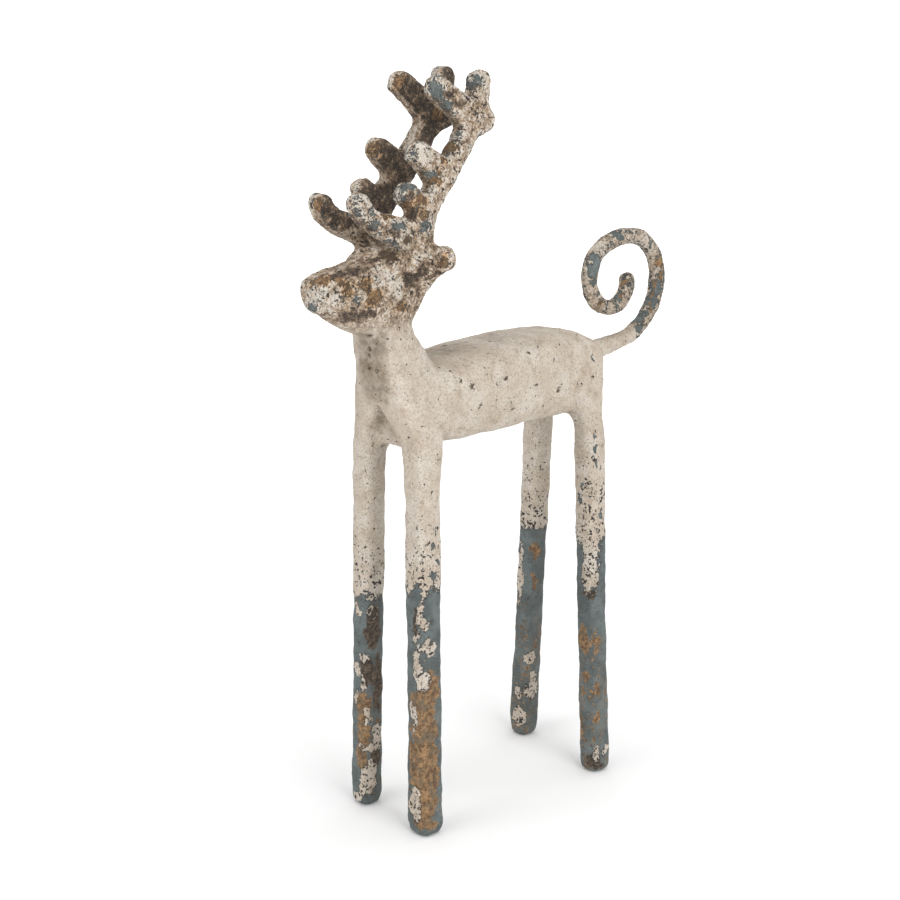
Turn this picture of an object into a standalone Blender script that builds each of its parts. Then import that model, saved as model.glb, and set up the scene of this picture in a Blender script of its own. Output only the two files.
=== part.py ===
"""Metal deer figurine: a long-legged stag cast in one piece, with slab antlers and a scrolled tail.

The deer stands on the floor at z = 0 and looks towards -Y, with its own left side at +X.
All sizes are in metres.
"""

import math

import bmesh
import bpy
from mathutils import Vector

# Stance: the legs are square bars with soft corners, and their feet stand wider than the hips
LEG_LENGTH = 0.247
LEG_SIDE = 0.0167
LEFT_LEG_STOUT = 1.09
STRIDE = 0.152
FRONT_HIP_SPREAD = 0.050
FRONT_FOOT_SPREAD = 0.0582
HIND_HIP_SPREAD = 0.0544
HIND_FOOT_SPREAD = 0.0768
FRONT_SWAY = -0.0028
FRONT_STEP = 0.0009
HIND_STEP = 0.0052
SHOULDER_LEAN = 0.010
TOE_ROUND = 0.005

# Barrel: a rounded box from the shoulders to the rump
BARREL_LENGTH = 0.147
BARREL_WIDTH = 0.065
BARREL_DEPTH = 0.057
BARREL_END_ROUND = 0.009

# Neck: a flat-fronted plate that leans forward and spreads into the shoulders
NECK_LENGTH = 0.090
NECK_WIDTH = 0.036
NECK_DEPTH = 0.024
SHOULDER_WIDTH = 0.067
NOTCH_HEIGHT = 0.0275
THROAT_CLEARANCE = 0.011

# Head: a level wedge with a blunt nose, hollowed eyes and short cupped ears
HEAD_LENGTH = 0.0755
HEAD_WIDTH = 0.049
HEAD_DEPTH = 0.054
HEAD_SET_BACK = 0.0145
SKULL_ROUND = 0.006
NOSE_ROUND = 0.004
EAR_REACH = 0.042
EAR_HEIGHT = 0.016
EAR_THICK = 0.011
EAR_SET_BACK = 0.005
EYE_SPREAD = 0.031
EYE_FORWARD = 0.0185
EYE_DROP = 0.006
EYE_RADIUS = 0.0065
EYE_HOLLOW = 0.0026
EAR_CUP_RADIUS = 0.0070
EAR_CUP_DEPTH = 0.0028

# Antlers: two flat slabs side by side, each a leaning beam with six short tines
ANTLER_ROOT_SPREAD = 0.042
ANTLER_TOP_SPREAD = 0.030
ANTLER_HEIGHT = 0.100
ANTLER_THICK = 0.0125
ANTLER_ROOT_ROUND = 0.004
TINE_END_ROUND = 0.006
SLAB_EDGE_ROUND = 0.0022
BEAM_WIDTH = 0.0150
TINE_WIDTH = 0.0145
BROW_WIDTH = 0.0118

# Tail: a round rod that scrolls up and over
TAIL_REACH = 0.048
TAIL_RISE = 0.085
TAIL_ROD = 0.0116
TAIL_ROOT_ROD = 0.021
TAIL_END_ROUND = 0.004
SCROLL_RADIUS = 0.0454
SCROLL_START = math.radians(-80)
SCROLL_END = math.radians(345)

# Surface
VOXEL = 0.0018
THINNEST = 0.0004
TRIANGLES = 8600
CREASE = math.radians(50)

FRONT_LEG_Y = -0.075
HIND_LEG_Y = FRONT_LEG_Y + STRIDE
RUMP_Y = FRONT_LEG_Y + LEG_SIDE / 2 + BARREL_LENGTH
BELLY = LEG_LENGTH
BACK = BELLY + BARREL_DEPTH
CHIN = BACK + THROAT_CLEARANCE
CROWN = CHIN + HEAD_DEPTH


def spline(rows, steps):
    """Rows of numbers, filled in by a smooth curve that passes through every row."""
    last = len(rows) - 1
    smooth = []
    for i in range(last):
        corners = list(zip(rows[max(i - 1, 0)], rows[i], rows[i + 1], rows[min(i + 2, last)]))
        for step in range(steps):
            t = step / steps
            smooth.append([
                b + (t * (c - a) + t**2 * (2 * a - 5 * b + 4 * c - d) + t**3 * (3 * b - a - 3 * c + d)) / 2
                for a, b, c, d in corners
            ])
    smooth.append(list(rows[last]))
    return smooth


def rounded(rows, start, end, edge_end=None, steps=4):
    """Adds the rows of a rounded edge, of the given radius, before the first row and after the last.

    An edge radius is the one along the section's side, where that is another.
    """
    first, last = Vector(rows[0][:3]), Vector(rows[-1][:3])
    out_start = (first - Vector(rows[1][:3])).normalized()
    out_end = (last - Vector(rows[-2][:3])).normalized()
    before = []
    after = []
    for step in range(1, steps + 1):
        angle = math.pi / 2 * step / steps
        for edge, row, middle, way, radius, side_radius in (
            (before, rows[0], first, out_start, start, start),
            (after, rows[-1], last, out_end, end, edge_end),
        ):
            if radius:
                radii = (side_radius or radius, radius)
                shrunk = [half - r * (1 - math.cos(angle)) for half, r in zip(row[3:5], radii)]
                halves = [max(half, THINNEST) for half in shrunk]
                edge.append([*(middle + way * radius * math.sin(angle)), *halves])
    return before[::-1] + list(rows) + after


def loft(
    bm, rows, side=(1, 0, 0), square=4.0, steps=3, start=0.0, end=0.0, edge_end=None, around=28, flare=0.0
):
    """A closed form skinned over sections along a path.

    A row is a section's middle x, y, z, then its half width along side and its half width across.
    The larger square is, the nearer a section is to a rectangle; 2 gives an ellipse. Flare is the
    share by which a section is wider at its top than at its middle, and narrower at its foot.
    """
    rows = rounded(spline(rows, steps), start, end, edge_end=edge_end)
    middles = [Vector(row[:3]) for row in rows]
    rings = []
    for i, row in enumerate(rows):
        along = (middles[min(i + 1, len(rows) - 1)] - middles[max(i - 1, 0)]).normalized()
        across = along.cross(Vector(side)).normalized()
        level = across.cross(along)
        ring = []
        for k in range(around):
            turn = 2 * math.pi * k / around
            u = math.copysign(abs(math.cos(turn)) ** (2 / square), math.cos(turn))
            v = math.copysign(abs(math.sin(turn)) ** (2 / square), math.sin(turn))
            u *= 1 + flare * v
            ring.append(bm.verts.new(middles[i] + level * u * row[3] + across * v * row[4]))
        rings.append(ring)
    for one, two in zip(rings, rings[1:]):
        for k in range(around):
            bm.faces.new((one[k - 1], one[k], two[k], two[k - 1]))
    bm.faces.new(rings[0])
    bm.faces.new(rings[-1][::-1])


# Share of the leg's length up, of the way from foot to hip, and of the bar's side, then of the shoulder's
# lean, and the share of the side by which the haunch grows towards the belly
LEG = (
    (0.016, 0.00, 0.98, 0.0, 0.0),
    (0.066, 0.00, 1.03, 0.0, 0.0),
    (0.30, 0.30, 0.99, 0.0, 0.0),
    (0.70, 0.70, 1.00, 0.0, 0.0),
    (0.93, 0.93, 1.03, 0.0, 0.0),
    (1.00, 1.00, 1.12, 0.1, 0.14),
    (1.06, 1.00, 1.12, 0.5, 0.45),
    (1.12, 1.00, 1.08, 1.0, 0.60),
)


def add_leg(bm, foot, hip, y, side, belly, lean=0.0):
    """A square bar from the foot's x to the hip's x, which runs on into the body and leans in there.

    Belly is 1 or -1: the way along y from the leg to the belly.
    """
    rows = [
        (
            foot + way * (hip - foot) - inward * lean,
            y + belly * haunch * side / 2,
            up * LEG_LENGTH,
            wide * side / 2,
            (wide + haunch) * side / 2,
        )
        for up, way, wide, inward, haunch in LEG
    ]
    loft(bm, rows, square=4.5, steps=6, start=TOE_ROUND, end=TOE_ROUND)


def add_legs(bm):
    for left in (1, -1):
        front_y = FRONT_LEG_Y - left * FRONT_STEP
        hind_y = HIND_LEG_Y - left * HIND_STEP
        side = LEG_SIDE * (LEFT_LEG_STOUT if left == 1 else 1)
        front_foot = left * FRONT_FOOT_SPREAD / 2 + FRONT_SWAY
        add_leg(bm, front_foot, left * FRONT_HIP_SPREAD / 2, front_y, side, 1, lean=left * SHOULDER_LEAN)
        add_leg(bm, left * HIND_FOOT_SPREAD / 2, left * HIND_HIP_SPREAD / 2, hind_y, LEG_SIDE, -1)


# Share of the barrel's length, then of its half width, and the belly's and back's shares of its depth
BARREL = (
    (0.00, 0.86, 0.02, 0.84),
    (0.14, 0.94, -0.02, 0.885),
    (0.33, 0.98, -0.015, 0.96),
    (0.56, 1.00, 0.00, 0.99),
    (0.80, 1.00, 0.01, 1.00),
    (0.93, 0.96, 0.03, 0.95),
    (1.00, 0.92, 0.07, 0.88),
)


def add_barrel(bm):
    rows = [
        (
            0,
            RUMP_Y - (1 - along) * BARREL_LENGTH,
            BELLY + (low + high) / 2 * BARREL_DEPTH,
            wide * BARREL_WIDTH / 2,
            (high - low) / 2 * BARREL_DEPTH,
        )
        for along, wide, low, high in BARREL
    ]
    loft(bm, rows, square=3.2, steps=4, start=BARREL_END_ROUND, end=BARREL_END_ROUND, around=40)


# Share of the neck's length from the belly up, of the way from neck to shoulder width,
# and how far the front and the rear stand off the front legs' middle, in necks' depths
NECK = (
    (-0.02, 1.00, 0.40, 0.34),
    (0.11, 0.91, 0.50, 0.48),
    (0.23, 0.70, 0.60, 0.66),
    (0.36, 0.46, 0.71, 0.78),
    (0.51, 0.24, 0.83, 0.76),
    (0.61, 0.12, 0.88, 0.55),
    (0.71, 0.05, 0.92, 0.25),
    (0.83, 0.00, 0.94, 0.13),
    (1.03, 0.00, 0.94, 0.13),
)


def add_neck(bm):
    rows = [
        (
            0,
            FRONT_LEG_Y + (rear - front) / 2 * NECK_DEPTH,
            BELLY + up * NECK_LENGTH,
            (NECK_WIDTH + spread * (SHOULDER_WIDTH - NECK_WIDTH)) / 2,
            (front + rear) / 2 * NECK_DEPTH,
        )
        for up, spread, front, rear in NECK
    ]
    loft(bm, rows, square=3.6, steps=4, around=40)


# Share of the head's length from the back of the skull, of its half width, and of its depth low and high
HEAD = (
    (0.00, 0.74, 0.66, 0.94),
    (0.107, 0.86, 0.44, 1.03),
    (0.253, 0.86, 0.10, 1.06),
    (0.36, 0.82, 0.03, 0.965),
    (0.46, 0.80, 0.00, 0.885),
    (0.64, 0.68, 0.08, 0.84),
    (0.84, 0.55, 0.235, 0.785),
    (1.00, 0.46, 0.33, 0.71),
)


def add_head(bm):
    skull_y = FRONT_LEG_Y + HEAD_SET_BACK
    rows = [
        (
            0,
            skull_y - along * HEAD_LENGTH,
            CHIN + (low + high) / 2 * HEAD_DEPTH,
            wide * HEAD_WIDTH / 2,
            (high - low) / 2 * HEAD_DEPTH,
        )
        for along, wide, low, high in HEAD
    ]
    loft(bm, rows, square=2.8, steps=4, start=SKULL_ROUND, end=NOSE_ROUND, around=40, flare=0.2)


# Share of an ear's reach, then its middle below the crown and its half height, in ear heights
EAR = ((0.24, 1.20, 0.95), (0.47, 0.84, 0.70), (0.70, 0.55, 0.52), (0.84, 0.46, 0.46))


def add_ears(bm):
    for left in (1, -1):
        rows = [
            (
                left * out * EAR_REACH,
                FRONT_LEG_Y + EAR_SET_BACK * (1 + out),
                CROWN - below * EAR_HEIGHT,
                EAR_THICK / 2,
                half * EAR_HEIGHT,
            )
            for out, below, half in EAR
        ]
        loft(bm, rows, side=(0, 1, 0), square=2.6, end=TINE_END_ROUND)


# Antler middle lines: forward from the root, and up, as shares of the antler's height, and the width's share
BEAM = (
    (0.01, -0.14, 1.25),
    (-0.01, 0.01, 1.2),
    (-0.02, 0.09, 1.15),
    (-0.065, 0.20, 1.1),
    (-0.175, 0.33, 1.0),
    (-0.295, 0.47, 0.95),
    (-0.40, 0.61, 0.95),
    (-0.47, 0.74, 1.2),
)
BROW_TINE = (
    (0.02, 0.05, 1.7),
    (0.18, 0.092, 1.38),
    (0.31, 0.14, 1.08),
    (0.38, 0.20, 1.0),
    (0.395, 0.24, 1.0),
)
TINES = (
    ((-0.07, 0.165, 1.35), (0.01, 0.242, 1.05), (0.08, 0.30, 0.97)),
    ((-0.21, 0.39, 1.42), (-0.11, 0.473, 1.1), (-0.025, 0.535, 0.97)),
    ((-0.42, 0.75, 1.28), (-0.31, 0.83, 1.07), (-0.19, 0.91, 1.0)),
    ((-0.46, 0.72, 1.2), (-0.53, 0.84, 0.95), (-0.548, 0.945, 0.88)),
    ((-0.45, 0.69, 1.1), (-0.54, 0.70, 1.0), (-0.585, 0.715, 0.92)),
)
# The left antler's rise, its brow tine's reach and its beam's width, then the right antler's, as shares
UNLIKE = ((1, 0.985, 1.12, 0.90), (-1, 1.012, 1.0, 1.05))


def add_antlers(bm):
    tines = [(tine, TINE_WIDTH) for tine in TINES]
    for left, rise, brow_reach, stout in UNLIKE:
        brow = [(forward * brow_reach, up * brow_reach, wide) for forward, up, wide in BROW_TINE]
        for line, width in tines + [(BEAM, stout * BEAM_WIDTH), (brow, BROW_WIDTH)]:
            rows = []
            for forward, up, wide in line:
                spread = ANTLER_ROOT_SPREAD + up * (ANTLER_TOP_SPREAD - ANTLER_ROOT_SPREAD)
                y = FRONT_LEG_Y - forward * ANTLER_HEIGHT
                z = CROWN + up * rise * ANTLER_HEIGHT
                rows.append((left * spread / 2, y, z, ANTLER_THICK / 2, wide * width / 2))
            loft(bm, rows, square=7.0, start=ANTLER_ROOT_ROUND, end=TINE_END_ROUND, edge_end=SLAB_EDGE_ROUND)


# Back from the rump and up from the belly, then the rod's half width, as shares of the tail root's rod
TAIL_ROOT = ((-0.67, 1.71, 0.50), (0.29, 1.76, 0.40), (1.14, 1.69, 0.315))
# Radii of the tail's scroll at each quarter turn, as shares of the first
SCROLL = (1.00, 0.955, 0.55, 0.625, 0.455, 0.22)
SCROLL_STEPS = 6


def add_tail(bm):
    rod = TAIL_ROOT_ROD
    rows = [(0, RUMP_Y + back * rod, BELLY + up * rod, half * rod, half * rod) for back, up, half in TAIL_ROOT]
    middle_y, middle_z = RUMP_Y + TAIL_REACH, BELLY + TAIL_RISE
    for i, (share,) in enumerate(spline([[share] for share in SCROLL], SCROLL_STEPS)):
        angle = math.pi / 2 * (i / SCROLL_STEPS - 1)
        if SCROLL_START < angle < SCROLL_END:
            radius = share * SCROLL_RADIUS
            y, z = middle_y + radius * math.cos(angle), middle_z + radius * math.sin(angle)
            rows.append((0, y, z, TAIL_ROD / 2, TAIL_ROD / 2))
    loft(bm, rows, square=2.1, steps=2, end=TAIL_END_ROUND, around=20)


def notch_cutter():
    """The wedge of air between the front legs, which runs up into the chest and leans back."""
    half = (FRONT_HIP_SPREAD - LEG_SIDE) / 2
    shoulder = BELLY + NOTCH_HEIGHT / 9
    below = BELLY - LEG_SIDE
    outline = ((0, BELLY + NOTCH_HEIGHT), (half, shoulder), (half, below), (-half, below), (-half, shoulder))
    bm = bmesh.new()
    front = [bm.verts.new((x, FRONT_LEG_Y - NECK_DEPTH * 1.5, z)) for x, z in outline]
    back = []
    for x, z in outline:
        set_back = 0.05 + 0.45 * (z - BELLY) / NOTCH_HEIGHT
        back.append(bm.verts.new((x, FRONT_LEG_Y - NECK_DEPTH * set_back, z)))
    bm.faces.new(front)
    bm.faces.new(back[::-1])
    for k in range(len(outline)):
        bm.faces.new((front[k - 1], back[k - 1], back[k], front[k]))
    return placed(bm, "notch", cutters)


def placed(bm, name, collection):
    """The finished bmesh as an object in a collection."""
    bmesh.ops.recalc_face_normals(bm, faces=bm.faces)
    mesh = bpy.data.meshes.new(name)
    bm.to_mesh(mesh)
    bm.free()
    obj = bpy.data.objects.new(name, mesh)
    collection.objects.link(obj)
    return obj


def baked(obj):
    """Applies the object's modifiers."""
    graph = bpy.context.evaluated_depsgraph_get()
    mesh = bpy.data.meshes.new_from_object(obj.evaluated_get(graph))
    obj.modifiers.clear()
    obj.data = mesh


def joints():
    """Where the forms run into each other: a middle on the left side, a reach, and passes of smoothing.

    In the table a joint is a place, how far back and up from there it lies and how far it reaches, both as
    shares of a leg's side, and its passes.
    """
    hip_x = HIND_HIP_SPREAD / 2
    table = (
        ((0, FRONT_LEG_Y, BACK), 0.96, -0.06, 1.56, 40),
        ((SHOULDER_WIDTH * 0.42, FRONT_LEG_Y, BELLY), 0.84, 1.80, 1.80, 40),
        ((SHOULDER_WIDTH * 0.48, FRONT_LEG_Y, BELLY), 0.60, 0.24, 0.90, 24),
        ((SHOULDER_WIDTH * 0.52, FRONT_LEG_Y, BELLY), -0.24, 0.72, 0.78, 24),
        ((hip_x, HIND_LEG_Y, BELLY), -0.50, 0.00, 1.02, 30),
        ((hip_x + LEG_SIDE / 2, HIND_LEG_Y, BELLY), 0.00, 1.56, 1.56, 40),
        ((hip_x, RUMP_Y, BELLY), 0.00, 0.24, 1.20, 30),
        ((0, RUMP_Y, BELLY), 0.36, 2.40, 1.08, 24),
        ((0, FRONT_LEG_Y, CHIN), 0.24, 0.60, 1.32, 30),
        ((0, FRONT_LEG_Y - NECK_DEPTH, CHIN), 0.00, 0.24, 1.20, 20),
        ((HEAD_WIDTH * 0.5, FRONT_LEG_Y + EAR_SET_BACK, CROWN), 0.00, -0.96, 0.84, 14),
        ((ANTLER_ROOT_SPREAD / 2, FRONT_LEG_Y, CROWN), -0.36, 0.12, 0.96, 12),
    )
    return [
        (Vector(place) + Vector((0, back, up)) * LEG_SIDE, reach * LEG_SIDE, passes)
        for place, back, up, reach, passes in table
    ]


def mirrored(spot):
    """The spot on the left side and on the right, or the one on the middle plane."""
    return [Vector(spot)] + ([Vector((-spot[0], spot[1], spot[2]))] if spot[0] else [])


def blend(bm, middle, reach, passes):
    """Rounds the skin about a joint, as clay is thumbed into a corner."""
    freely = {"use_axis_x": True, "use_axis_y": True, "use_axis_z": True}
    for spot in mirrored(middle):
        close = [(v, (v.co - spot).length) for v in bm.verts]
        close = [(v, gap) for v, gap in close if gap < reach]
        for step in range(passes):
            now = reach * (1 - 0.6 * step / passes)
            near = [v for v, gap in close if gap < now]
            bmesh.ops.smooth_vert(bm, verts=near, factor=0.5, **freely)


def hollows():
    """The thumbed hollows: a middle on the left side, a reach and a depth."""
    return (
        ((EYE_SPREAD / 2, FRONT_LEG_Y - EYE_FORWARD, CROWN - EYE_DROP), EYE_RADIUS, EYE_HOLLOW),
        (
            (EAR_REACH * 0.82, FRONT_LEG_Y + EAR_SET_BACK - EAR_THICK / 2, CROWN - EAR_HEIGHT / 2),
            EAR_CUP_RADIUS,
            EAR_CUP_DEPTH,
        ),
    )


def press(bm, middle, reach, depth):
    """Pushes the skin about a spot inwards, deepest at the spot."""
    bm.normal_update()
    for spot in mirrored(middle):
        for vert in bm.verts:
            gap = (vert.co - spot).length / reach
            if gap < 1:
                vert.co -= vert.normal * depth * (1 - gap * gap) ** 2


def stand(deer):
    """Files the feet flat on the floor and puts the origin under the middle of the figure."""
    bm = bmesh.new()
    bm.from_mesh(deer.data)
    all_geom = [*bm.verts, *bm.edges, *bm.faces]
    cut = bmesh.ops.bisect_plane(bm, geom=all_geom, plane_co=(0, 0, 0), plane_no=(0, 0, 1), clear_inner=True)
    rims = [edge for edge in cut["geom_cut"] if isinstance(edge, bmesh.types.BMEdge)]
    bmesh.ops.holes_fill(bm, edges=rims, sides=0)
    low = Vector([min(v.co[axis] for v in bm.verts) for axis in range(3)])
    high = Vector([max(v.co[axis] for v in bm.verts) for axis in range(3)])
    middle = (low + high) / 2
    bmesh.ops.translate(bm, verts=bm.verts, vec=(-middle.x, -middle.y, 0))
    bmesh.ops.recalc_face_normals(bm, faces=bm.faces)
    bm.to_mesh(deer.data)
    bm.free()


def painted_metal(name, colour, roughness, metallic):
    material = bpy.data.materials.new(name)
    material.use_nodes = True
    surface = material.node_tree.nodes["Principled BSDF"]
    surface.inputs["Base Color"].default_value = (*colour, 1)
    surface.inputs["Roughness"].default_value = roughness
    surface.inputs["Metallic"].default_value = metallic
    return material


def build_deer():
    bm = bmesh.new()
    add_neck(bm)
    neck = placed(bm, "neck", parts)
    cut = neck.modifiers.new("Notch", "BOOLEAN")
    cut.solver = "EXACT"
    cut.object = notch_cutter()
    baked(neck)

    bm = bmesh.new()
    bm.from_mesh(neck.data)
    bpy.data.objects.remove(neck)
    add_legs(bm)
    add_barrel(bm)
    add_head(bm)
    add_ears(bm)
    add_antlers(bm)
    add_tail(bm)
    deer = placed(bm, "deer", parts)
    skin = deer.modifiers.new("One skin", "REMESH")
    skin.mode = "VOXEL"
    skin.voxel_size = VOXEL
    baked(deer)

    bm = bmesh.new()
    bm.from_mesh(deer.data)
    bmesh.ops.smooth_vert(bm, verts=bm.verts, factor=0.5, use_axis_x=True, use_axis_y=True, use_axis_z=True)
    for middle, reach, passes in joints():
        blend(bm, middle, reach, passes)
    for middle, reach, depth in hollows():
        press(bm, middle, reach, depth)
    bm.to_mesh(deer.data)
    bm.free()

    thin = deer.modifiers.new("Facets", "DECIMATE")
    thin.ratio = TRIANGLES / (2 * len(deer.data.polygons))
    baked(deer)
    stand(deer)
    deer.data.shade_smooth()
    deer.data.set_sharp_from_angle(angle=CREASE)
    deer.data.materials.append(painted_metal("worn cream paint", (0.68, 0.61, 0.52), 0.75, 0.0))


def new_collection(name):
    collection = bpy.data.collections.new(name)
    bpy.context.scene.collection.children.link(collection)
    return collection


for old in list(bpy.data.objects):
    bpy.data.objects.remove(old)
parts = new_collection("Metal deer figurine")
cutters = new_collection("Cutters")
build_deer()
for cutter in cutters.objects:
    cutter.hide_render = True
    cutter.display_type = "WIRE"
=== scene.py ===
import math

import bmesh
import bpy
import numpy as np
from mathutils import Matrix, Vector
from mathutils.noise import noise_vector, seed_set


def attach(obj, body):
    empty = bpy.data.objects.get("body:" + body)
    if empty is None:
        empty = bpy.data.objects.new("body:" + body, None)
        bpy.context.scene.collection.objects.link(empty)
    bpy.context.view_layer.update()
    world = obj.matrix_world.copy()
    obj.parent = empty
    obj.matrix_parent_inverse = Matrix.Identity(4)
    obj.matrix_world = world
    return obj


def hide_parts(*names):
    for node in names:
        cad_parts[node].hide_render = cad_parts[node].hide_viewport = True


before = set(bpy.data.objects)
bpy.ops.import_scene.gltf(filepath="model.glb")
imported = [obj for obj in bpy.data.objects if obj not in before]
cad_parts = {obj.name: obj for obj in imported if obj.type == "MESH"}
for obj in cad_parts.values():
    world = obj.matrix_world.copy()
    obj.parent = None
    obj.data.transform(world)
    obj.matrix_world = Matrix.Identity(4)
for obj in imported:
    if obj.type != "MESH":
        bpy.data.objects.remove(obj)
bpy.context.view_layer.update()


# Camera: stands ahead of the deer on its left, a little above its back, and looks slightly down.
CAMERA_PLACE = (0.7059, -0.72705, 0.468)
CAMERA_TURN = math.radians(46.1)
# The horizon is 380 pixels above the picture's middle, and the lens is 1600 pixels long
CAMERA_DIP = math.atan(380 / 1600)
LENS_MM = 64
SENSOR_MM = 36

camera = bpy.data.objects.new("camera", bpy.data.cameras.new("camera"))
camera.data.lens = LENS_MM
camera.data.sensor_width = SENSOR_MM
camera.location = CAMERA_PLACE
camera.rotation_euler = (math.pi / 2 - CAMERA_DIP, 0, CAMERA_TURN)
bpy.context.scene.collection.objects.link(camera)
bpy.context.scene.camera = camera


# The deer: one rough sand casting of metal. Its skin is the frame's own form, evened out and then given
# the shallow lumps that the mould, the maker's thumbs and the sand leave. Sizes are in metres.
SKIN_VOXEL = 0.00148
MERGE_GAP = 0.00001
EVEN_PASSES = 8
EVEN_IN = 0.5
EVEN_OUT = -0.53
# Each kind of lump, its size and its depth
LUMPS = (
    ("mould lumps", 0.016, 0.0016),
    ("thumb marks", 0.0065, 0.0008),
    ("sand grain", 0.0028, 0.00035),
)


def skin_of(node):
    """The node's form as one even skin of small faces."""
    bm = bmesh.new()
    bm.from_mesh(node.data)
    bmesh.ops.remove_doubles(bm, verts=bm.verts, dist=MERGE_GAP)
    mesh = bpy.data.meshes.new("worn deer")
    bm.to_mesh(mesh)
    bm.free()
    skin = bpy.data.objects.new("worn_deer", mesh)
    bpy.context.scene.collection.objects.link(skin)
    even = skin.modifiers.new("even faces", "REMESH")
    even.mode = "VOXEL"
    even.voxel_size = SKIN_VOXEL
    settle(skin)
    return skin


def settle(piece):
    """Makes the piece's modifiers part of its mesh."""
    graph = bpy.context.evaluated_depsgraph_get()
    mesh = bpy.data.meshes.new_from_object(piece.evaluated_get(graph))
    piece.modifiers.clear()
    piece.data = mesh


def smooth(bm, factor):
    """Moves each place towards the middle of its neighbours, or away below 0."""
    every_way = {"use_axis_x": True, "use_axis_y": True, "use_axis_z": True}
    bmesh.ops.smooth_vert(bm, verts=bm.verts, factor=factor, **every_way)


def even_out(piece):
    """Takes the facets off and keeps the thickness: each pass in is followed by one out."""
    bm = bmesh.new()
    bm.from_mesh(piece.data)
    for _ in range(EVEN_PASSES):
        for factor in (EVEN_IN, EVEN_OUT):
            smooth(bm, factor)
    bm.to_mesh(piece.data)
    bm.free()


deer = skin_of(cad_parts["deer"])
even_out(deer)
for name, size, depth in LUMPS:
    clouds = bpy.data.textures.new(name, "CLOUDS")
    clouds.noise_scale = size
    clouds.noise_depth = 1
    lump = deer.modifiers.new(name, "DISPLACE")
    lump.texture = clouds
    lump.texture_coords = "LOCAL"
    lump.strength = depth
    lump.mid_level = 0.5
settle(deer)


# Where the deer's coats have worn: a cream top coat over blue-grey, with rust, soot-brown patina,
# grime and painted shade. Places are in millimetres on the casting, and each spot has a reach across
# and a reach up.
CREAM_FLAKES = (
    # near front leg
    (33, -102, 171, 6.5, 14.8),
    (32, -103, 149, 4.1, 11.2),
    (34, -100, 142, 4.7, 4.7),
    (27, -104, 134, 4.7, 4.7),
    (34, -100, 126, 6.6, 6.6),
    (30, -104, 117, 5.6, 7.5),
    (32, -103, 105, 6.6, 7.6),
    (26, -104, 82, 3.4, 7.7),
    (26, -104, 72, 2.3, 3.8),
    (27, -104, 21, 5.5, 11.8),
    # far front leg
    (-19, -97, 161, 7.7, 11.6),
    (-28, -101, 136, 3.5, 3.9),
    (-20, -96, 134, 4.3, 5.8),
    (-24, -101, 104, 3.9, 3.9),
    (-29, -101, 94, 3.6, 4.4),
    (-25, -101, 85, 3.6, 4.4),
    (-31, -101, 77, 2.4, 4),
    (-23, -99, 64, 3.6, 5),
    (-22, -92, 50, 5, 7.1),
    (-23, -95, 42, 6.1, 4),
    (-23, -97, 25, 5.1, 8.1),
    (-24, -99, 15, 6.1, 10.2),
    (-31, -101, 5, 4.1, 4.1),
    # far hind leg
    (-36, 55, 123, 3, 24),
    (-28, 59, 61, 3.6, 4.4),
    (-28, 62, 47, 3.6, 5.6),
    (-29, 61, 36, 6, 7),
    (-37, 55, 34, 3, 4),
    (-36, 55, 16, 5.6, 8),
    # near hind leg
    (37.5, 45, 152, 6.5, 24),
    (46, 46, 19, 4, 3.4),
    (45, 47, 13, 4.4, 4),
    (47, 56, 18, 3, 4),
    # near antler
    (24, -91, 423, 5.9, 7.2),
    (24, -83, 419, 5.3, 5.9),
    (24, -76, 418, 3.3, 4),
    (21, -43, 464, 5.4, 6.8),
    (22, -58, 447, 5.4, 8.1),
    (22, -58, 437, 6.7, 8.1),
    (23, -40, 441, 5.4, 6.8),
    (25, -73, 408, 6.6, 6.6),
    (25, -77, 398, 6.6, 6.6),
    (25, -101, 403, 7.8, 3.9),
    (25, -136, 397, 5.1, 5.1),
    # tail
    (5, 116, 359, 3.5, 3.1),
    (5, 127, 357, 4.7, 3.5),
    (5, 135, 351, 3.9, 3.1),
    (4, 143, 343, 3.6, 4.7),
    (1, 146, 335, 2.8, 4.8),
    (0, 147, 329, 2, 3.2),
    (2, 92, 357, 5.3, 3.8),
    (2, 85, 352, 4.2, 4.5),
    (3, 97, 358, 3.1, 3.1),
    (3, 76, 331, 3.8, 4.5),
    (2, 78, 323, 3.8, 4.5),
    (3, 82, 317, 4.6, 3.8),
    (4, 89, 312, 4.6, 3.1),
    (5, 100, 313, 2.7, 2.3),
    (6, 144, 303, 2, 4),
    (5, 139, 299, 2, 4),
    (5, 117, 321, 1.6, 3.1),
)
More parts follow.
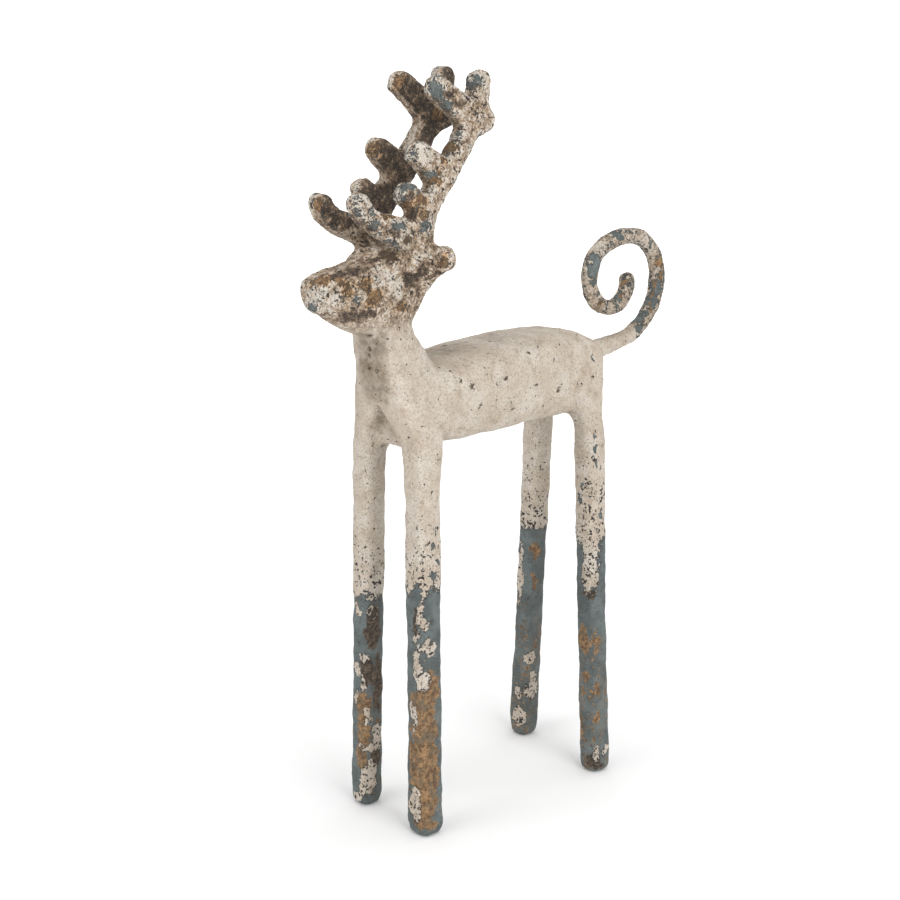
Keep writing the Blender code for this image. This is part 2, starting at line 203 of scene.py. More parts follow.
BARE_SPOTS = (
    # legs
    (28, -104, 158, 4.1, 6.5),
    (34, -96, 152, 6.5, 11.2),
    (25, -104, 142, 3.7, 9.4),
    (35, -96, 135, 5.6, 5.6),
    (33, -102, 120, 2.6, 3),
    (36, 48, 235, 1.4, 4.2),
    (37, 49, 226, 1.6, 4.2),
    (37, 50, 216, 1.4, 4.2),
    (29, 45, 202, 1.7, 3.3),
    (27, 45, 193, 1.7, 3.8),
    (38, 55, 181, 1.4, 4.8),
    (37, 46, 185, 0.9, 1.4),
    (37, 47, 196, 0.9, 1.4),
    (34, -92, 198, 1.3, 3),
    (34, -95, 189, 1.7, 3),
    (34, -92, 180, 1.3, 3.5),
    (34, -95, 171, 2.2, 4.3),
    (29, -104, 201, 0.9, 1.5),
    (34, -91, 209, 0.9, 2.1),
    (-25, -101, 142, 3, 7),
    (41, 57, 148, 4, 20),
    (29, 45, 150, 3, 8),
    # rump
    (31, 51, 285, 1.8, 2),
    # head
    (1, -159, 337, 4.7, 2.8),
    (15, -136, 341, 3.3, 3.3),
    (23, -118, 372, 4.7, 3.3),
    (20, -109, 369, 3.8, 3.8),
    (13, -148, 345, 1.4, 4.6),
    # near antler
    (21, -79, 458, 6, 4.6),
    (21, -70, 448, 7, 2.4),
    (21, -77, 452, 4, 2.4),
    (17, -45, 461, 4.1, 5.4),
    (18, -67, 422, 4, 8),
    (24, -85, 409, 6.6, 4),
    (19, -60, 431, 4, 5.4),
    (22, -104, 404, 5.2, 3.3),
    (26, -93, 382, 4.6, 9.2),
    (27, -114, 382, 7.7, 3.9),
    (26, -132, 386, 3.8, 6.4),
    # tail
    (4, 106, 360, 3.5, 2.7),
    (5, 83, 345, 4.5, 4.2),
    (5, 80, 339, 4.5, 3.8),
    (5, 80, 330, 2.3, 3.8),
    (6, 139, 352, 2.4, 3.1),
    (4, 148, 321, 4.8, 5.6),
    (2, 144, 312, 4.8, 6.3),
    (1, 135, 301, 4.7, 6.3),
    (5, 128, 293, 3.9, 3.1),
    (1, 110, 318, 3.9, 4.7),
)
RUST_SPOTS = (
    # legs
    (33, -103, 88, 10.5, 11.4),
    (35, -97, 99, 5.7, 11.4),
    (32, -103, 72, 11.5, 11.5),
    (33, -103, 56, 11.6, 11.6),
    (34, -102, 40, 11.6, 11.6),
    (34, -103, 23, 11.7, 11.7),
    (34, -103, 9, 10.8, 3.9),
    (-25, -101, 70, 6, 10),
    (-27, -101, 53, 6, 12),
    (-27, -101, 36, 5.1, 12.1),
    (-22, -92, 52, 3, 8.1),
    (-24, 58, 142, 3.2, 8),
    (-25, 58, 119, 2.8, 7),
    (-28, 56, 98, 2, 2.4),
    (-31, 55, 82, 2, 2),
    (-27, 62, 70, 2, 3.6),
    (33, 45, 95, 5, 11),
    (42, 48, 94, 3, 9),
    (36, 45, 69, 4.5, 3),
    (32, 45, 30, 2.8, 11),
    (45, 48, 40, 3.4, 2.6),
    (40, 45, 57, 2, 3.4),
    (44, 49, 62, 2, 8),
    # head
    (1, -158, 350, 2.8, 2.8),
    (5, -154, 353, 4.7, 2.8),
    (5, -147, 355, 3.7, 1.9),
    (14, -142, 347, 4.2, 4.2),
    (12, -145, 352, 3.7, 2.8),
    (17, -126, 340, 4.7, 5.7),
    (16, -131, 350, 4.7, 3.8),
    (36, -89, 358, 4.2, 3.6),
    (39, -88, 362, 2.2, 4),
    (18, -106, 333, 4.8, 3.8),
    # near antler
    (20, -66, 424, 6.7, 3.3),
    (25, -76, 416, 3.3, 4),
    (26, -95, 395, 5.9, 3.9),
    (26, -92, 387, 5.2, 3.3),
    (24, -83, 405, 4, 3.3),
    (24, -104, 392, 3.9, 5.2),
    (26, -120, 388, 5.1, 2.3),
    (25, -80, 411, 2.6, 2.6),
    # far antler
    (-10, -79, 462, 5, 6),
    (-14, -97, 423, 6, 6),
    (-15, -138, 393, 5, 5.5),
    (-11, -48, 441, 5, 4.5),
    # tail
    (5, 150, 337, 2, 4.8),
    (5, 151, 329, 2, 4),
    (2, 148, 323, 2.8, 2.8),
    (2, 145, 315, 1.7, 4),
    (2, 141, 306, 1.7, 4.8),
    (3, 135, 300, 1.7, 3.9),
    (2, 116, 327, 3.1, 3.1),
    (2, 112, 319, 1.9, 3.1),
    (6, 90, 316, 3.4, 1.9),
)
# Soot, and in the chest's crease a line of painted shade
SOOT_AND_CREASE_SHADE_SPOTS = (
    # legs
    (27, -104, 142, 3, 11),
    (-20, -95, 124, 6, 15),
    (-23, -100, 94, 5.5, 11),
    (-21, -91, 84, 3.7, 22),
    (-23, -92, 35, 4, 7),
    (45, 45, 8, 8, 6),
    (38, 45, 127, 6, 4),
    (36, 45, 185, 1.6, 5),
    (37, 47, 200, 1.4, 6),
    (36, 47, 231, 1.2, 3),
    (37, 48, 220, 1.2, 3),
    # head
    (9, -145, 355, 4.2, 2.1),
    (10, -138, 356, 4.7, 2.3),
    (12, -127, 358, 5.7, 2.4),
    (13, -113, 364, 4.8, 2.9),
    (18, -110, 362, 1.9, 1.7),
    (12, -119, 361, 3.8, 2.4),
    (11, -139, 331, 5.6, 3.3),
    (14, -129, 331, 5.7, 3.8),
    (17, -129, 346, 2.3, 3.8),
    (22, -99, 350, 5.7, 4.8),
    (27, -97, 355, 3.8, 3.8),
    (30, -88, 352, 3.8, 2.4),
    (9, -131, 323, 4.7, 1.9),
    (17, -111, 327, 2.9, 2.4),
    (-11, -107, 367, 3.4, 3.9),
    # near antler
    (22, -70, 454, 8, 2.7),
    (22, -62, 448, 6.7, 2.4),
    (25, -105, 396, 3.9, 5.2),
    (25, -100, 389, 3.9, 3.9),
    (26, -129, 382, 6.4, 2.6),
    (27, -117, 377, 7.7, 2.1),
    (19, -46, 459, 3.4, 3.4),
    # tail
    (6, 126, 359, 2.3, 2.2),
    (3, 138, 348, 2.4, 1.6),
    (0, 76, 337, 1.1, 4.5),
    (4, 97, 316, 1.5, 1.2),
    (-2, 148, 328, 1, 2.4),
    # chest: a line of painted shade in the crease between the legs
    (-2, -106, 271, 0.6, 3),
    (-2, -102, 264, 0.9, 3),
    (1, -99, 258, 0.9, 3),
)
WHITE_SPOTS = (
    # head
    (3, -159, 343, 4.7, 5.6),
    (10, -158, 347, 4.2, 4.6),
    (11, -153, 340, 4.2, 4.6),
    (19, -118, 352, 6.6, 4.2),
    (21, -109, 345, 4.7, 4.7),
    (27, -97, 365, 5.2, 3.3),
    (27, -109, 376, 3.8, 2.8),
    # antler tips
    (24, -91, 423, 4.4, 5.5),
    (21, -79, 460, 4, 3),
    (25, -136, 398, 3, 4),
    (22, -43, 462, 4, 5),
    # tail
    (4, 88, 354, 5, 5),
    (5, 133, 353, 4, 4),
)
# Grime with painted shade: under the head, down the neck's front, in the valley behind the neck, on the
# back, between the front legs and in the near hind leg's crease
SHADE_AND_GRIME_SPOTS = (
    (8, -116, 312, 14, 11),
    (2, -113, 293, 12, 22),
    (0, -58, 305, 26, 8),
    (0, -15, 307, 20, 5),
    (0, -92, 262, 12, 14),
    (27, 42, 236, 5, 34),
)
# Each leg's side and end of the deer, the level to which its cream has worn down, how softly the coat
# gives out, how far above that it is pitted, and the middle of its sole
LEG_WEAR = (
    (1, -1, 161, 16, 62, (28, -92)),
    (-1, -1, 143, 16, 62, (-34, -91)),
    (-1, 1, 157, 7, 75, (-39, 61)),
    (1, 1, 162, 14, 90, (36, 56)),
)
# The patches on a leg's seen sides come again on its hidden sides, this much higher
PATCH_RISE = 14
# The way from which the deer is seen least: behind, on its right
HIDDEN_WAY = np.array((-0.7, 0.7, 0))

MM = 1000
# Where the deer's parts and coats begin or give out, in millimetres
LEG_TOP = 235
LEG_RUST_FADE = (70, 150)
LEG_SOOT_FADE = (100, 150)
INNER_TOP = 250
WAIST = -35
BREAST = -95
BREAST_FADE = (240, 285)
BACK_TOP = 330
HEAD_FOOT = 322
HEAD_FADE = (314, 332)
HEAD_BACK = 40
ANTLER_FADE = (374, 382)
TAIL_START = 60
TAIL_FADE = (124, 130)
SCROLL_START = 68
SCROLL_FADE = (300, 306)
# How much cream the parts keep, from 0 to 1, and how much of it rims and edges lose
HEAD_COAT = 0.80
TAIL_COAT = 0.55
LEG_COAT = 0.08
LEG_COAT_HIDDEN = 0.24
RIM_WEAR = 0.14
EDGE_WEAR = 0.4
# How much rust, soot and pitting the parts have outside the spots
LEG_RUST, LEG_RUST_HIND, LEG_RUST_HIDDEN = 0.24, 0.13, 0.05
HEAD_RUST, TAIL_RUST = 0.3, 0.2
LEG_SOOT, HEAD_SOOT, TAIL_SOOT = 0.22, 0.3, 0.25
LEG_PITS, HEAD_PITS = 0.9, 0.6
# Random pushes that make the spots ragged: grain and push in millimetres. This seed leaves the spots
# near their places.
WARP_SEED = 141
WARP_WIDE, PUSH_WIDE = 8.0, 3.2
WARP_FINE, PUSH_FINE = 3.0, 2.2
# A spot is full up to the first share of its reach and gone at the second
SPOT_FULL = 0.6
SPOT_EDGE = 1.45
# How deep bare places lie under the cream, and how rough the head is, in millimetres
BARE_DEPTH = 0.35
HEAD_ROUGH = 0.45
HOLLOW_PASSES = 6
HOLLOW_FULL = 0.25


def ramp(value, low, high):
    """Goes smoothly from 0 at low to 1 at high."""
    share = np.clip((value - low) / (high - low), 0, 1)
    return share * share * (3 - 2 * share)


def spread(places, spots):
    """How deep each place lies in any of the spots, from 0 outside to 1 in the middle."""
    depth = np.zeros(len(places))
    for x, y, z, across, tall in spots:
        gap = np.sqrt((((places - (x, y, z)) / (across, across, tall)) ** 2).sum(1))
        depth = np.maximum(depth, 1 - ramp(gap, SPOT_FULL, SPOT_EDGE))
    return depth


def read_vectors(mesh, name):
    """The mesh's places or normals, one row for each vertex."""
    flat = np.empty(len(mesh.vertices) * 3)
    mesh.vertices.foreach_get(name, flat)
    return flat.reshape(-1, 3)


def hollow_of(mesh):
    """How far each place lies under its surroundings: 1 in a full hollow, below 0 on an edge."""
    bm = bmesh.new()
    bm.from_mesh(mesh)
    for _ in range(HOLLOW_PASSES):
        smooth(bm, EVEN_IN)
    smoothed = np.array([v.co[:] for v in bm.verts])
    bm.free()
    under = ((smoothed - read_vectors(mesh, "co")) * read_vectors(mesh, "normal")).sum(1) * MM
    return under / HOLLOW_FULL


def warp(places, grain):
    """A smooth random push for each place, up to about 1 each way."""
    return np.array([noise_vector(Vector(p) / grain) for p in places])


seed_set(WARP_SEED)
skin = read_vectors(deer.data, "co") * MM
facing = read_vectors(deer.data, "normal")
hollow = hollow_of(deer.data)
fine_warp = warp(skin, WARP_FINE)
places = skin + PUSH_WIDE * warp(skin, WARP_WIDE) + PUSH_FINE * fine_warp
x, y, z = skin.T

# The parts, and the ways that places face: 1 inside or towards, 0 elsewhere
head = (y < HEAD_BACK) * ramp(places[:, 2], *HEAD_FADE)
scroll = (y > SCROLL_START) * ramp(z, *SCROLL_FADE)
tail = (y > TAIL_START) * np.maximum(ramp(y, *TAIL_FADE), scroll)
antler = (y < HEAD_BACK) * ramp(z, *ANTLER_FADE)
near_rim = antler * (x > 0) * (1 - ramp(np.abs(facing[:, 0]), 0.55, 0.9))
far_inside = antler * (x < 0) * ramp(facing[:, 0], 0.1, 0.5)
hidden = ramp(facing @ HIDDEN_WAY, 0.0, 0.5)
behind = hidden * (z < LEG_TOP)
inner = ramp(-facing[:, 0] * np.sign(x), 0.5, 0.9) * (z < INNER_TOP)
upward = ramp(facing[:, 2], 0.45, 0.95)
downward = ramp(-facing[:, 2], 0.5, 0.95)
forward = ramp(-facing[:, 1], 0.5, 0.95)
mottle = np.clip(head + 0.6 * tail, 0, 1)

# What each part has all over. On a leg, turned is the place across from each one, half a turn round the
# leg's middle and a little lower: its patches are the ones that come again.
coat = np.ones(len(skin))
soot_and_crease_shade = np.zeros(len(skin))
rust = np.zeros(len(skin))
pepper = np.zeros(len(skin))
turned = places.copy()
for side, end, level, soft, pitted, middle in LEG_WEAR:
    leg = (x * side > 0) & ((y - WAIST) * end > 0) & (z < LEG_TOP)
    least = LEG_COAT + LEG_COAT_HIDDEN * hidden[leg]
    coat[leg] = np.clip(0.5 + (z[leg] - level) / soft, least, 1)
    rusty = LEG_RUST + LEG_RUST_HIND * (end > 0) + LEG_RUST_HIDDEN * hidden[leg]
    rust[leg] = rusty * (1 - ramp(z[leg], *LEG_RUST_FADE))
    soot_and_crease_shade[leg] = LEG_SOOT * (1 - ramp(z[leg], *LEG_SOOT_FADE))
    pepper[leg] = LEG_PITS * (1 - ramp(z[leg], level, level + pitted))
    turned[leg] = (*middle, PATCH_RISE) * np.array((2, 2, -1)) + places[leg] * (-1, -1, 1)
coat += head * (HEAD_COAT - 1) - RIM_WEAR * near_rim + tail * (TAIL_COAT - 1)
soot_and_crease_shade += HEAD_SOOT * head + TAIL_SOOT * tail
rust += HEAD_RUST * head + TAIL_RUST * tail
pepper = np.maximum(pepper, HEAD_PITS * mottle * (1 - far_inside))

# The spots, and how they cut into each other
white = spread(places, WHITE_SPOTS)
bare = spread(places, BARE_SPOTS)
soot_and_crease_shade_spots = spread(places, SOOT_AND_CREASE_SHADE_SPOTS)
rust_spots = np.maximum(spread(places, RUST_SPOTS), behind * spread(turned, RUST_SPOTS))
flaked = np.maximum(spread(places, CREAM_FLAKES), behind * spread(turned, CREAM_FLAKES))
coat = np.maximum(np.maximum(coat, flaked), 0.75 * white)
coat = np.minimum(coat, 1 - bare * (1 - 0.3 * head) - 0.25 * bare * tail)
coat -= EDGE_WEAR * np.clip(-hollow - 0.5, 0, 1) * (0.4 * head + (z < LEG_TOP))
coat = np.minimum(coat, 1 - 0.62 * soot_and_crease_shade_spots * (1 - head))
coat = np.minimum(coat, 1 - rust_spots * (0.75 * head + 1.2 * tail))
rust = np.maximum(rust * (1 - bare), rust_spots * (1 + 0.2 * tail))
soot_and_crease_shade = np.maximum(soot_and_crease_shade * (1 - bare) * (1 - 0.8 * rust_spots), soot_and_crease_shade_spots * (1 - head))

# The head's dark places: soot, painted shade in its hollows, on the far antler's inner faces and under
# the antlers, and painted light on the far antler's front faces. Then grime with painted shade: on top
# of the back, under things, on the legs' inner faces, in hollows and down the breast below the head
soot_and_painted_shade = head * (1.2 * soot_and_crease_shade_spots + 0.45 * np.clip(hollow, -1, 1)) + 1.1 * far_inside
soot_and_painted_shade += 0.7 * antler * ramp(-facing[:, 2], 0.2, 0.7)
soot_and_painted_shade -= 0.5 * antler * (x < 0) * ramp(-facing[:, 1], 0.3, 0.9)
soot_and_painted_shade -= 0.7 * white + 0.22 * antler * (x > 0)
shade_and_grime = 0.5 * spread(skin, SHADE_AND_GRIME_SPOTS) + 0.22 * upward * (z < BACK_TOP) + 0.5 * inner
shade_and_grime += 0.6 * np.clip(hollow, 0, 1) + 0.4 * downward
shade_and_grime += 0.45 * forward * (y < BREAST) * ramp(z, *BREAST_FADE) * (z < HEAD_FOOT)

for name, values in (
    ("coat", coat),
    ("rust", rust),
    ("soot_and_crease_shade", soot_and_crease_shade),
    ("shade_and_grime", shade_and_grime),
    ("mottle", mottle),
    ("pepper", pepper),
    ("white", white),
    ("soot_and_painted_shade", soot_and_painted_shade),
):
    layer = deer.data.attributes.new(name, "FLOAT", "POINT")
    layer.data.foreach_set("value", values.astype(np.float32))
sunk = BARE_DEPTH * (1 - ramp(coat, 0.3, 0.7)) + HEAD_ROUGH * mottle * fine_warp[:, 0]
deer.data.vertices.foreach_set("co", ((skin - facing * sunk[:, None]) / MM).ravel())
deer.data.update()
deer.data.shade_smooth()


# The finish: matt distressed paint. Cream flakes off blue-grey, both over golden rust, with brown
# soot and grime in the hollows, and painted shade there, in creases, in dimples and round the flakes.
# Masks come from the fields above and from noise on Object coordinates.
CREAM = (0.70, 0.60, 0.49)
CREAM_PALE = (0.80, 0.73, 0.64)
CREAM_WHITE = (0.80, 0.75, 0.67)
BEIGE = (0.45, 0.34, 0.24)
BLUE_GREY = (0.125, 0.148, 0.145)
BLUE_PALE = (0.20, 0.235, 0.232)
BLUE_CHALKY = (0.44, 0.46, 0.43)
RUST_GOLD = (0.46, 0.28, 0.135)
RUST_ORANGE = (0.68, 0.39, 0.17)
OLIVE_BROWN = (0.22, 0.17, 0.11)
RUST_BROWN = (0.15, 0.085, 0.045)
SOOT_AND_SHADOW_BLACK = (0.05, 0.04, 0.032)
SOOT_AND_SHADE_BROWN = (0.21, 0.15, 0.10)
# Brown for grime and painted shade
SHADE_AND_GRIME_BROWN = (0.22, 0.16, 0.105)
NICK_BROWN = (0.12, 0.08, 0.05)
# The head's mottling, from the darkest, in hollows where shade is painted, to the highest places
MOTTLING = (
    (0.05, 0.036, 0.027),
    (0.19, 0.135, 0.09),
    (0.42, 0.30, 0.20),
    (0.64, 0.51, 0.38),
    (0.80, 0.73, 0.64),
)
# Each noise's grain in millimetres, its octaves and how much the finer ones count
CHIPS = (6, 5, 0.62)
FLAKES = (2.6, 4, 0.6)
FINE = (1.3, 3, 0.6)
SAND = (0.6, 2)
RUST_RUNS = (7, 5, 0.65)
SOOT_RUNS = (4.5, 5, 0.65)
SHADE_AND_GRIME_PATCHES = (4, 4)
CREAM_CLOUDS = (16, 3)
CREAM_WEAR = (9, 6, 0.7)
MOTTLES = (5, 4, 0.6)
BLUE_CLOUDS = (12, 4)
RUST_CLOUDS = (3.2, 4)
OLIVE_PATCHES = (5, 4)
SMALL_PITS = (1.7, 2)
LARGE_PITS = (3.6, 3)
CRACKS = (6, 3)
# Chips, rust and soot are drawn out up and down: their noise is read at places squeezed this way
RUN_SQUEEZE = (1, 1, 0.6)
# Where each mask starts and where it is full, on the sum of its field and its noise
CREAM_LEFT = (0.47, 0.53)
RIM_STARTS, RIM_ENDS = (0.22, 0.40), (0.47, 0.52)
RUST_FULL = (0.38, 0.62)
SOOT_AND_CREASE_SHADE_FULL = (0.38, 0.66)
SHADE_AND_GRIME_FULL = (0.32, 1.25)
PIT_EDGE = (0.17, 0.22)
# A crack lies where its noise is near 0: whole up to the first and gone at the second
CRACK_WIDTH = (0.003, 0.016)
MATT = 0.78
SPECULAR = 0.35
# How far the outline of a nick wanders, and on what grain, in millimetres
NICK_WANDER = 4.0
NICK_GRAIN = 2.2
# Nicks through the cream, down to the dark metal: a place in millimetres and a reach
NICKS = (
    (28.4, -65.9, 285.9, 1.5),
    (30.4, -58.5, 281.5, 1.7),
    (31.7, -30.4, 283.2, 1.4),
    (32.4, -3.1, 275.5, 1.3),
    (32.4, 16.6, 269.9, 1.6),
    (31.1, -52.3, 268.9, 1.3),
    (27.4, -6.4, 296.3, 1.2),
    (23.8, -70.6, 291.4, 1.2),
    (-6.4, -46.0, 300.6, 1.8),
    (5.6, -52.3, 299.7, 1.3),
    (8.3, -20.9, 302.6, 1.2),
    (35.6, 46.5, 274.5, 1.3),
    (2.1, -115.2, 308.0, 1.5),
    (1.2, -115.0, 304.0, 1.3),
    (6.9, -119.5, 317.4, 2.0),
    (-1.0, -113.5, 296.0, 1.4),
    (6.1, -113.4, 295.0, 1.5),
    (26.1, -107.1, 373.2, 3.2),
    (13.2, -112.8, 363.8, 3.4),
    (16.6, -110.9, 361.9, 3.0),
)


class Coat:
    """A value on its way through the paint's nodes. Arithmetic on it adds Math nodes."""

    tree = None

    def __init__(self, socket):
        self.socket = socket

    @classmethod
    def node(cls, kind, settings, sockets, out=0):
        made = cls.tree.nodes.new(kind)
        for name, value in settings.items():
            setattr(made, name, value)
        for name, value in sockets.items():
            if isinstance(value, Coat):
                cls.tree.links.new(value.socket, made.inputs[name])
            else:
                made.inputs[name].default_value = value
        return cls(made.outputs[out])

    def math(self, operation, other):
        return Coat.node("ShaderNodeMath", {"operation": operation}, {0: self, 1: other})

    def vector(self, operation, other):
        return Coat.node("ShaderNodeVectorMath", {"operation": operation}, {0: self, 1: other})

    def scaled(self, factor):
        return Coat.node("ShaderNodeVectorMath", {"operation": "SCALE"}, {0: self, "Scale": factor})

    def __add__(self, other):
        return self.math("ADD", other)

    def __sub__(self, other):
        return self.math("SUBTRACT", other)

    def __mul__(self, other):
        return self.math("MULTIPLY", other)

    def __rsub__(self, other):
        return Coat.node("ShaderNodeMath", {"operation": "SUBTRACT"}, {0: other, 1: self})

    __radd__ = __add__
    __rmul__ = __mul__

    def between(self, low, high):
        """0 below low, 1 above high, smooth between."""
        settings = {"interpolation_type": "SMOOTHSTEP"}
        sockets = {"Value": self, "From Min": low, "From Max": high}
        return Coat.node("ShaderNodeMapRange", settings, sockets)

    def size(self):
        """The value without its sign."""
        return self.math("ABSOLUTE", 0.0)

    def blend(self, under, over):
        """The under colour where this is 0, the over colour where it is 1."""
        under, over = [(*c, 1) if isinstance(c, tuple) else c for c in (under, over)]
        return Coat.node("ShaderNodeMix", {"data_type": "RGBA"}, {0: self, 6: under, 7: over}, out=2)


def noise(place, grain_mm, detail=2.0, rough=0.5):
    """Noise about 0 at each place."""
    sockets = {"Vector": place, "Scale": 1 / grain_mm, "Detail": detail, "Roughness": rough}
    return Coat.node("ShaderNodeTexNoise", {}, sockets) - 0.5


def field(name):
    """One of the deer's attributes."""
    return Coat.node("ShaderNodeAttribute", {"attribute_name": name}, {}, out=2)


paint = bpy.data.materials.new("worn cream paint")
paint.use_nodes = True
Coat.tree = paint.node_tree
surface = paint.node_tree.nodes["Principled BSDF"]

place = Coat.node("ShaderNodeTexCoord", {}, {}, out=3).scaled(float(MM))
runs = place.vector("MULTIPLY", RUN_SQUEEZE)
chips = noise(runs, *CHIPS)
flakes = noise(place, *FLAKES)
fine = noise(place, *FINE)
grain = noise(place, *SAND)

# Where each coat lies
mottle = field("mottle")
left = field("coat") + chips + flakes + 0.5 * fine + mottle * (0.5 * fine + 0.3 * grain)
cream_here = left.between(*CREAM_LEFT)
# A dark rim round each cream flake: painted shadow of its raised edge, with dirt
rim_shadow_and_dirt = left.between(*RIM_STARTS) * (1 - left.between(*RIM_ENDS))
rusting = field("rust") + 1.1 * noise(runs, *RUST_RUNS) + 0.9 * flakes + 0.6 * fine
rust_here = rusting.between(*RUST_FULL)
soot_and_crease_shade_here = (field("soot_and_crease_shade") + noise(runs, *SOOT_RUNS) + 0.8 * fine).between(*SOOT_AND_CREASE_SHADE_FULL)
shade_and_grime_here = (field("shade_and_grime") + 0.9 * noise(place, *SHADE_AND_GRIME_PATCHES) + 0.6 * fine).between(*SHADE_AND_GRIME_FULL)

# The cream, on the head and tail mottled from brown to white and tinted by rust
cream = (noise(place, *CREAM_CLOUDS) + 0.5 * fine).between(-0.16, 0.2).blend(CREAM, CREAM_PALE)
worn = noise(place, *CREAM_WEAR) + 0.5 * grain + 0.12 * mottle
cream = worn.between(0.0, 0.28).blend(cream, BEIGE)
tone = 0.52 + 1.5 * noise(place, *MOTTLES) + 1.3 * flakes + fine + 0.5 * grain
tone = tone - 0.45 * field("soot_and_painted_shade")
mottled = MOTTLING[0]
for step, shade in enumerate(MOTTLING[1:]):
    mottled = tone.between(0.2 * step + 0.08, 0.2 * step + 0.28).blend(mottled, shade)
golden = 0.8 * field("rust").between(0.25, 0.8) * tone.between(0.1, 0.55)
mottled = golden.blend(mottled, RUST_ORANGE)
cream = mottle.blend(cream, mottled)
cream = (0.35 * field("white")).blend(cream, CREAM_WHITE)
# Beige in the dimples of the relief: painted shade, with dirt
dimple_shade_and_dirt = 1 - (fine + 1.3 * grain).between(-0.34, -0.03)
cream = dimple_shade_and_dirt.blend(cream, BEIGE)

# What shows where the cream is gone
blue = (noise(place, *BLUE_CLOUDS) + 0.4 * grain).between(-0.15, 0.2).blend(BLUE_GREY, BLUE_PALE)
chalky = 0.8 * mottle * (flakes + 0.7 * fine + 0.4 * grain).between(0.0, 0.25)
blue = chalky.blend(blue, BLUE_CHALKY)
# The blue goes black under soot and where shade is painted on the far antler and in the head's hollows
blue = (0.75 * field("soot_and_painted_shade").between(0.35, 1.1)).blend(blue, SOOT_AND_SHADOW_BLACK)
rust = noise(place, *RUST_CLOUDS) + 0.8 * fine + 0.6 * grain
rust = rust.between(-0.18, 0.16).blend(RUST_BROWN, RUST_GOLD)
rust = (noise(place, *OLIVE_PATCHES) + 0.5 * grain).between(0.0, 0.16).blend(rust, OLIVE_BROWN)
# Soot's colour, also used for the painted shade in the chest's crease
soot_and_crease_shade = (flakes + 0.8 * fine + 0.1 * mottle).between(-0.12, 0.22).blend(SOOT_AND_SHADOW_BLACK, SOOT_AND_SHADE_BROWN)
under = rust_here.blend(blue, rust)
under = soot_and_crease_shade_here.blend(under, soot_and_crease_shade)
under = (0.7 * rim_shadow_and_dirt).blend(under, SOOT_AND_SHADOW_BLACK)
colour = cream_here.blend(under, cream)
# Grime and painted shade laid over the coats
colour = (0.75 * shade_and_grime_here).blend(colour, SHADE_AND_GRIME_BROWN)

# Pits in the cream, cracks on the mottled parts, and the nicks
pits = 0.75 * noise(place, *SMALL_PITS) + 0.6 * noise(place, *LARGE_PITS) + 0.13 * field("pepper")
pits = pits.between(*PIT_EDGE) * (0.2 + 0.8 * cream_here)
cracks = mottle * (1 - noise(place, *CRACKS).size().between(*CRACK_WIDTH))
pits = pits.math("MAXIMUM", 0.7 * cracks)
sockets = {"Vector": place, "Scale": 1 / NICK_GRAIN, "Detail": 2.0}
wander = Coat.node("ShaderNodeTexNoise", {}, sockets, out=1).scaled(NICK_WANDER)
bent = place.vector("ADD", wander).vector("SUBTRACT", (NICK_WANDER / 2,) * 3)
nicks = None
for *middle, reach in NICKS:
    sockets = {0: bent, 1: middle}
    gap = Coat.node("ShaderNodeVectorMath", {"operation": "DISTANCE"}, sockets, out=1)
    nick = 1 - (gap + 5.0 * fine).between(0.5 * reach, 1.3 * reach)
    nicks = nick if nicks is None else nicks.math("MAXIMUM", nick)
colour = pits.blend(colour, SOOT_AND_SHADOW_BLACK)
colour = nicks.blend(colour, NICK_BROWN)

# The relief of the coats, and how matt they are
height = 0.5 * cream_here + 2.6 * fine + 1.1 * grain + 1.5 * flakes
height = height - 0.8 * (pits + nicks) - 0.1 * soot_and_crease_shade_here
relief = Coat.node("ShaderNodeBump", {}, {"Strength": 1.0, "Distance": 1 / MM, "Height": height})
rough = MATT - 0.1 * cream_here + 0.15 * fine
for name, value in (("Base Color", colour), ("Roughness", rough), ("Normal", relief)):
    paint.node_tree.links.new(value.socket, surface.inputs[name])
surface.inputs["Specular IOR Level"].default_value = SPECULAR

deer.data.materials.clear()
deer.data.materials.append(paint)
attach(deer, "root")
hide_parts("deer")


# Studio: a pale floor that sweeps up into a low wall all round, and large soft lamps at the sides.
FLOOR_PALE = (0.9, 0.9, 0.9)
FLOOR_ROUGH = 0.9
# The sweep's way outwards: how far out and how high up, in metres
SWEEP = ((0, 0), (2.4, 0), (2.9, 0.06), (3.3, 0.24), (3.6, 0.55), (3.75, 1.0), (3.8, 1.5))
SWEEP_TURNS = 72
SWEEP_GAP = 0.0001
AIM = (0, 0, 0.22)
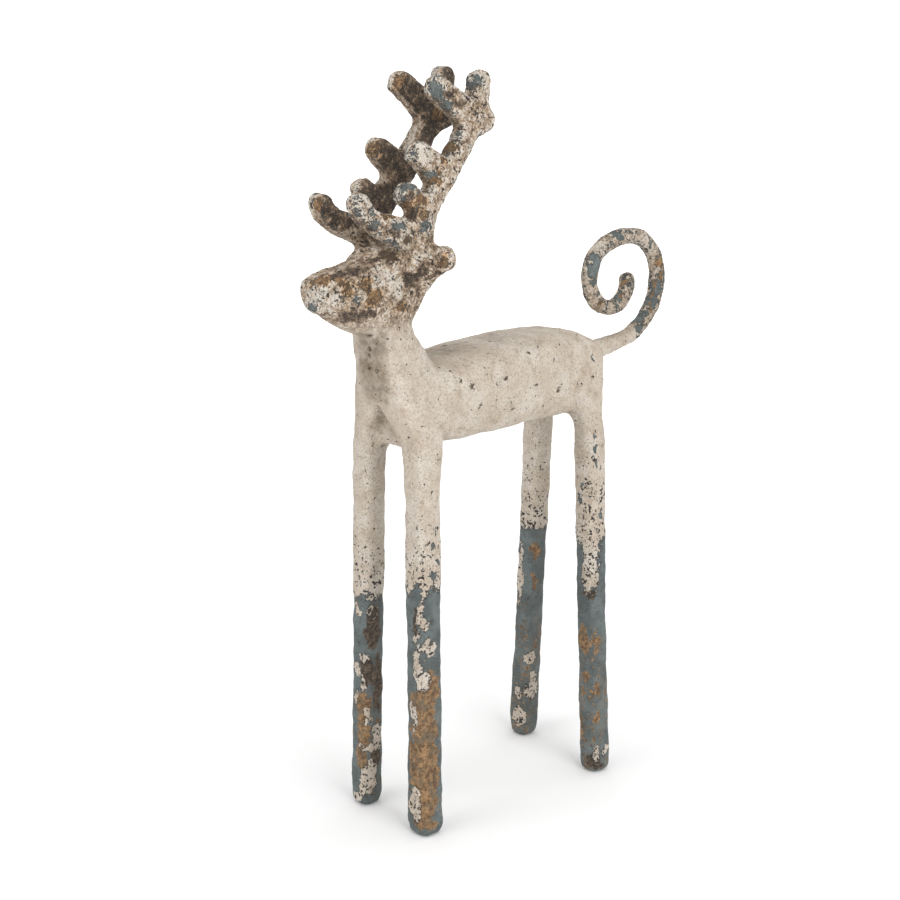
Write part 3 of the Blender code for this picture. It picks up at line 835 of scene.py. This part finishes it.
# Each lamp's name, place, aim, size in metres and power
LAMPS = (
    ("key", (1.7, -0.35, 0.75), AIM, 1.1, 20.5),
    ("front", (-0.35, -1.8, 0.7), AIM, 1.1, 12.3),
    ("top", (0.1, 0.1, 3.2), AIM, 2.2, 38),
    ("backdrop", (-1.3, 1.3, 2.2), (-2.9, 2.8, 0.3), 1.8, 60),
)
WORLD_STRENGTH = 0.55

bm = bmesh.new()
line = [bm.verts.new((out, 0, up)) for out, up in SWEEP]
edges = [bm.edges.new(pair) for pair in zip(line, line[1:])]
bmesh.ops.spin(
    bm,
    geom=line + edges,
    cent=(0, 0, 0),
    axis=(0, 0, 1),
    angle=2 * math.pi,
    steps=SWEEP_TURNS,
    use_merge=True,
)
bmesh.ops.remove_doubles(bm, verts=bm.verts, dist=SWEEP_GAP)
bmesh.ops.recalc_face_normals(bm, faces=bm.faces)
floor_mesh = bpy.data.meshes.new("floor")
bm.to_mesh(floor_mesh)
bm.free()
floor_mesh.shade_smooth()
floor = bpy.data.objects.new("floor", floor_mesh)
bpy.context.scene.collection.objects.link(floor)
floor_paint = bpy.data.materials.new("pale floor")
floor_paint.use_nodes = True
floor_surface = floor_paint.node_tree.nodes["Principled BSDF"]
floor_surface.inputs["Base Color"].default_value = (*FLOOR_PALE, 1)
floor_surface.inputs["Roughness"].default_value = FLOOR_ROUGH
floor_mesh.materials.append(floor_paint)

for name, at, aim, size, power in LAMPS:
    lamp = bpy.data.lights.new(name, "AREA")
    lamp.energy = power
    lamp.size = size
    stand = bpy.data.objects.new(name, lamp)
    stand.location = at
    stand.rotation_euler = (Vector(aim) - Vector(at)).to_track_quat("-Z", "Y").to_euler()
    bpy.context.scene.collection.objects.link(stand)
world = bpy.data.worlds.new("studio")
bpy.context.scene.world = world
world.use_nodes = True
world.node_tree.nodes["Background"].inputs["Color"].default_value = (1, 1, 1, 1)
world.node_tree.nodes["Background"].inputs["Strength"].default_value = WORLD_STRENGTH
bpy.context.scene.view_settings.view_transform = "Standard"
